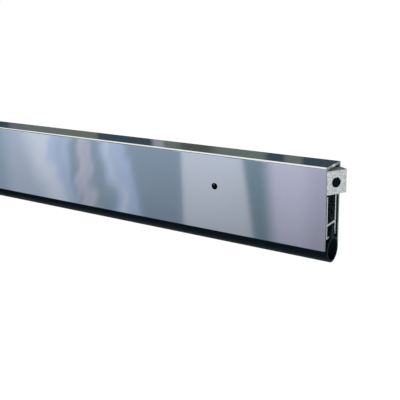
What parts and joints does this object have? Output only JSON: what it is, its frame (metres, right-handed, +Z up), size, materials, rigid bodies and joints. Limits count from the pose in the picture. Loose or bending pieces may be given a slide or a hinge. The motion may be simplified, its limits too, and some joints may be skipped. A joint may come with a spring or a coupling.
{
  "type": "automatic door bottom seal",
  "caption": "Aluminium channel for the foot of a door, with a spring-lifted drop bar and hollow rubber seal that a plunger at one end pushes down to the floor through rockers.",
  "frame": {"origin": "middle of the back face of the housing, the face that lies against the door", "axes": "+X along the door towards the plunger end, +Y out of the back face into the door, +Z up"},
  "size_m": [0.4672, 0.02, 0.0595],
  "materials": {
    "polished_aluminium": "polished and anodised",
    "mill_aluminium": "as extruded",
    "black_rubber": "smooth extruded rubber",
    "grey_nylon": "fine grained moulding",
    "black_nylon": "moulded",
    "steel": "zinc plated"
  },
  "bodies": {
    "housing": {"housing": "polished_aluminium", "plunger_guide": "black_nylon", "guide_screw": "steel", "rocker_carrier_right": "black_nylon", "carrier_screw_right": "steel", "rocker_pivot_pin_right": "steel", "guide_pin_right": "steel", "return_spring_right": "steel", "rocker_carrier_left": "black_nylon", "carrier_screw_left": "steel", "rocker_pivot_pin_left": "steel", "guide_pin_left": "steel", "return_spring_left": "steel"},
    "drop_bar": {"drop_bar": "mill_aluminium", "bulb_seal": "black_rubber", "lift_pin_right": "steel", "lift_pin_left": "steel"},
    "plunger": {"push_rod": "steel", "plunger_fork": "steel", "adjuster_lock_nut": "steel", "drive_pin_right": "steel", "spring_collar_right": "steel", "collar_pin_right": "steel", "drive_pin_left": "steel", "spring_collar_left": "steel", "collar_pin_left": "steel"},
    "plunger_head": {"plunger_head": "grey_nylon", "strike_buffer": "black_rubber", "head_pivot_pin": "steel"},
    "rocker_right": {"rocker_lever_right": "steel"},
    "rocker_left": {"rocker_lever_left": "steel"}
  },
  "joints": [
    {"name": "seal_drop", "type": "slide", "parent": "housing", "child": "drop_bar", "axis": [0, 0, -1], "range_m": [0, 0.009], "stiffness_N_per_m": 600, "springref_m": -0.01},
    {"name": "plunger_slide", "type": "slide", "parent": "housing", "child": "plunger", "axis": [-1, 0, 0], "range_m": [0, 0.006], "deforming": ["return_spring_right", "return_spring_left"]},
    {"name": "rocker_right_swing", "type": "hinge", "parent": "housing", "child": "rocker_right", "pos_m": [0.096, -0.01, -0.00033], "axis": [0, -1, 0], "range_deg": [0, 22]},
    {"name": "rocker_left_swing", "type": "hinge", "parent": "housing", "child": "rocker_left", "pos_m": [-0.096, -0.01, -0.00033], "axis": [0, -1, 0], "range_deg": [0, 22]},
    {"name": "head_swivel", "type": "hinge", "parent": "plunger", "child": "plunger_head", "pos_m": [0.2299, -0.01, 0.0151], "axis": [0, 0, 1], "range_deg": [0, 64]}
  ],
  "couplings": [
    {"joint": "plunger_slide", "follows": "seal_drop", "ratio": 0.66666},
    {"joint": "rocker_right_swing", "follows": "seal_drop", "rad_per_m": 42.663},
    {"joint": "rocker_left_swing", "follows": "seal_drop", "rad_per_m": 42.663}
  ]
}
